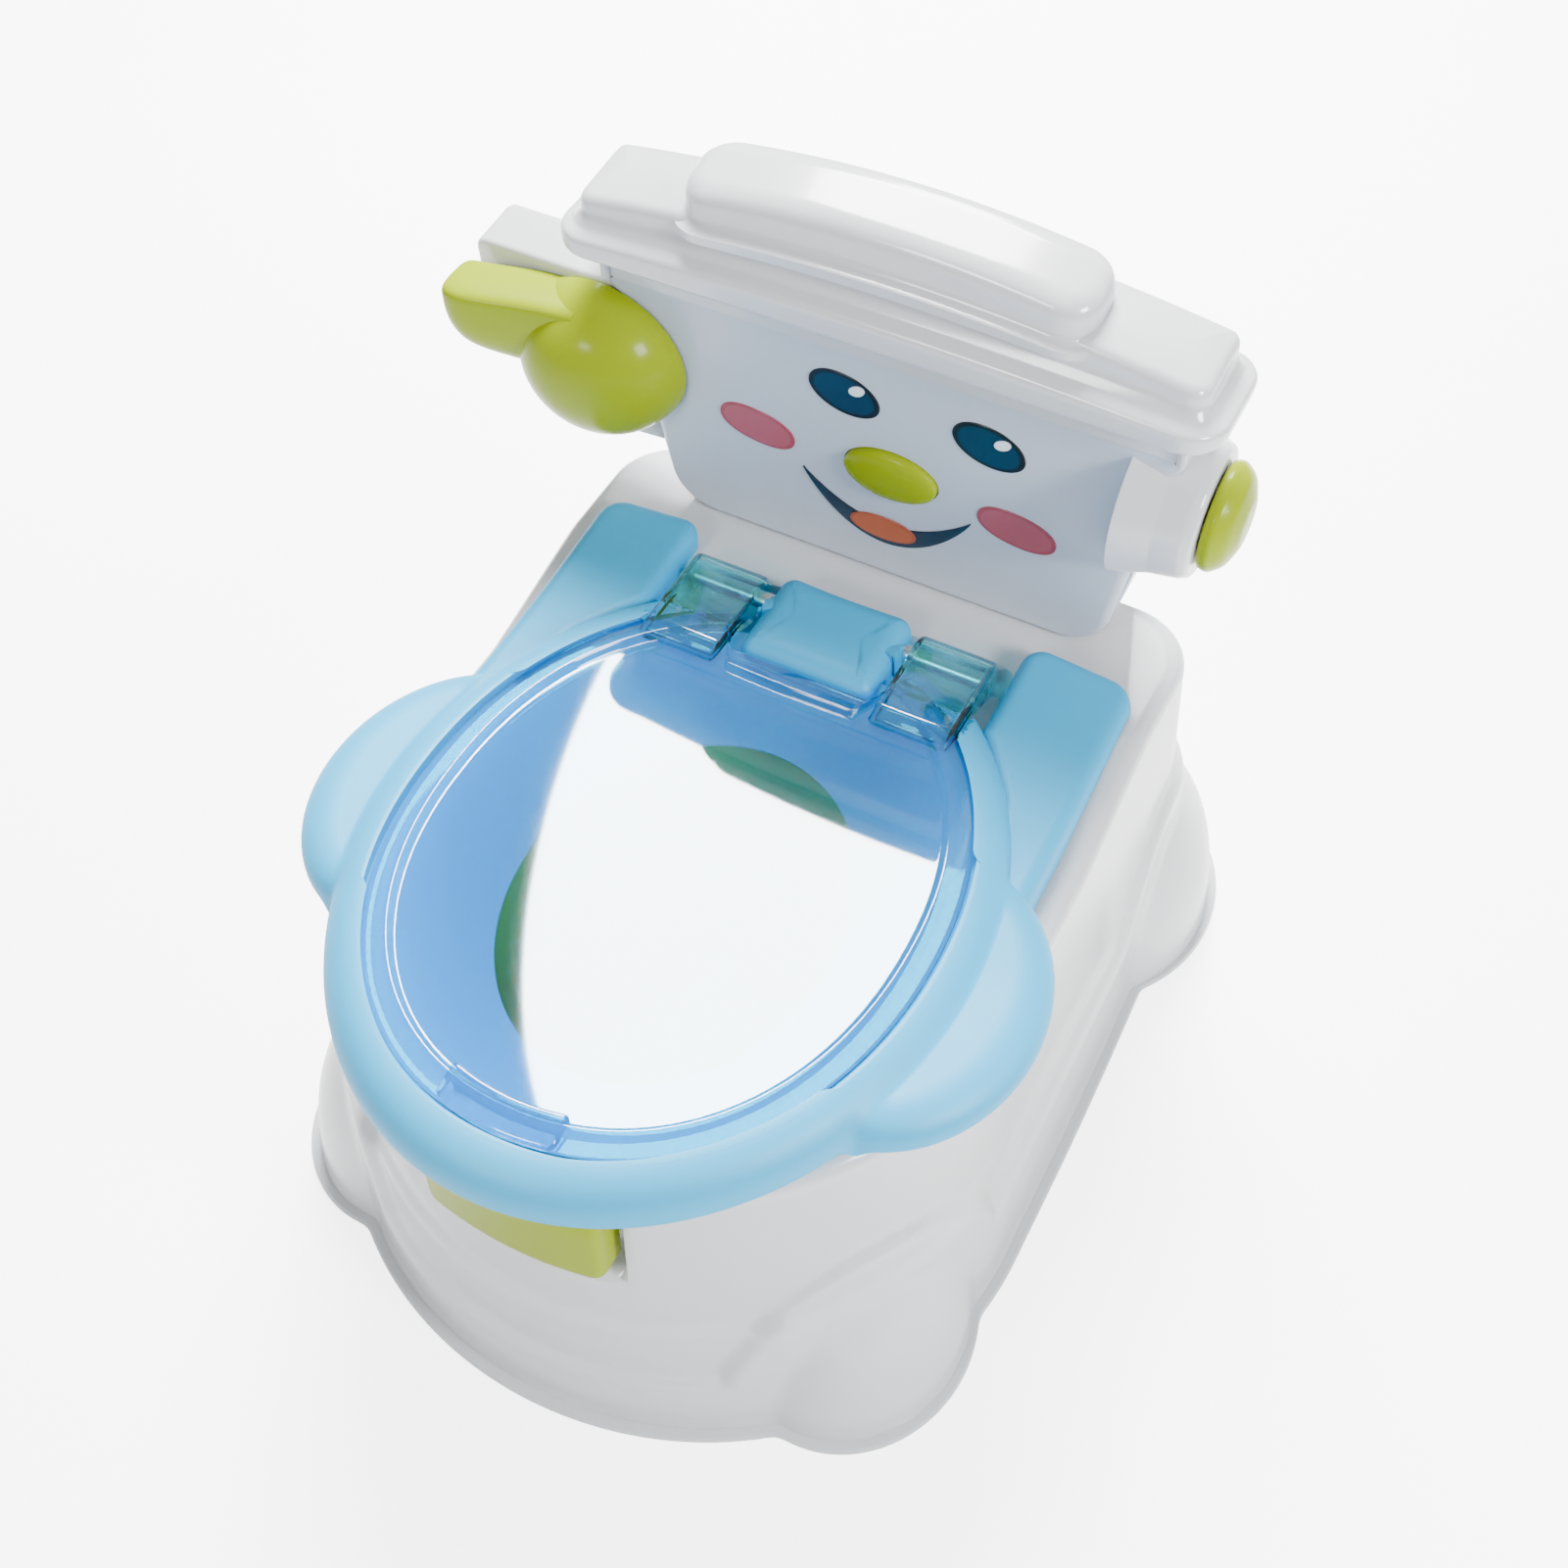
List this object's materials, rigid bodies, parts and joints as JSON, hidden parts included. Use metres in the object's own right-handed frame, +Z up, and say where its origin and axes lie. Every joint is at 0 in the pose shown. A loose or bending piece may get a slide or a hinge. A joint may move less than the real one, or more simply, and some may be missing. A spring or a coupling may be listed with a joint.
{
  "type": "potty training chair",
  "caption": "Child's potty shaped like a small toilet: lift-off seat with hinged oval lid, lift-out pot, and a toy cistern with a sprung flush lever.",
  "frame": {"origin": "on the floor under the base, on the middle plane of the chair, inside the base's ground rim", "axes": "+Z up, the chair faces -Y, +X is on the right of someone looking at its face"},
  "size_m": [0.3355, 0.39, 0.352],
  "materials": {
    "white_shell": "gloss",
    "seat_blue": "satin",
    "lid_azure": "clear gloss",
    "lime": "gloss",
    "pin_steel": "satin",
    "spring_steel": "satin",
    "foot_rubber": "matte",
    "print_navy": "satin",
    "print_white": "satin",
    "print_pink": "satin",
    "print_orange": "satin",
    "board_green": "satin",
    "black_plastic": "matte",
    "cell_wrap": "gloss",
    "contact_metal": "satin"
  },
  "bodies": {
    "base": {"base_shell": "white_shell", "rubber_feet": "foot_rubber", "tank_front": "white_shell", "tank_back": "white_shell", "tank_shelf": "white_shell", "lever_bracket": "white_shell", "bracket_cover": "white_shell", "lever_spring": "spring_steel", "lever_switch": "black_plastic", "side_boss": "white_shell", "nose_spring": "spring_steel", "eyes": "print_navy", "eye_glints": "print_white", "cheeks": "print_pink", "smile": "print_navy", "tongue": "print_orange", "battery_case": "black_plastic", "cells": "cell_wrap", "cell_contacts": "contact_metal", "sound_board": "board_green", "speaker": "black_plastic", "panel_screws": "pin_steel"},
    "seat": {"seat_top": "seat_blue", "hinge_pins": "pin_steel"},
    "lid": {"lid": "lid_azure"},
    "pot": {"pot": "lime"},
    "cap": {"tank_cap": "white_shell"},
    "lever": {"flush_lever": "lime", "lever_axle": "pin_steel", "lever_cam": "black_plastic"},
    "nose": {"nose_button": "lime"},
    "disc": {"side_disc": "lime"},
    "battery_door": {"battery_door": "white_shell", "door_screw": "pin_steel"}
  },
  "joints": [
    {"name": "seat_lift", "type": "slide", "parent": "base", "child": "seat", "axis": [0, -0.5145, 0.8575], "range_m": [0, 0.3]},
    {"name": "pot_lift", "type": "slide", "parent": "base", "child": "pot", "axis": [0, 0, 1], "range_m": [0, 0.105]},
    {"name": "lid_hinge", "type": "hinge", "parent": "seat", "child": "lid", "pos_m": [0, 0.061, 0.181], "axis": [-1, 0, 0], "range_deg": [0, 90]},
    {"name": "cap_lift", "type": "slide", "parent": "base", "child": "cap", "axis": [0, 0, 1], "range_m": [0, 0.08]},
    {"name": "lever_press", "type": "hinge", "parent": "base", "child": "lever", "pos_m": [-0.117, 0.09424, 0.248], "axis": [0, -0.9968, -0.0797], "range_deg": [0, 18], "stiffness_Nm_per_rad": 0.35, "springref_deg": -20.05},
    {"name": "nose_press", "type": "slide", "parent": "base", "child": "nose", "axis": [0, 0.9968, 0.0797], "range_m": [0, 0.0025], "stiffness_N_per_m": 250, "springref_m": -0.002},
    {"name": "disc_turn", "type": "hinge", "parent": "base", "child": "disc", "pos_m": [0.122, 0.107, 0.256], "axis": [1, 0, 0], "continuous": true},
    {"name": "battery_door_off", "type": "slide", "parent": "base", "child": "battery_door", "axis": [0, 0.9562, 0.2929], "range_m": [0, 0.03]}
  ],
  "couplings": [
    {"joint": "pot_lift", "follows": "seat_lift", "ratio": 0.35}
  ]
}
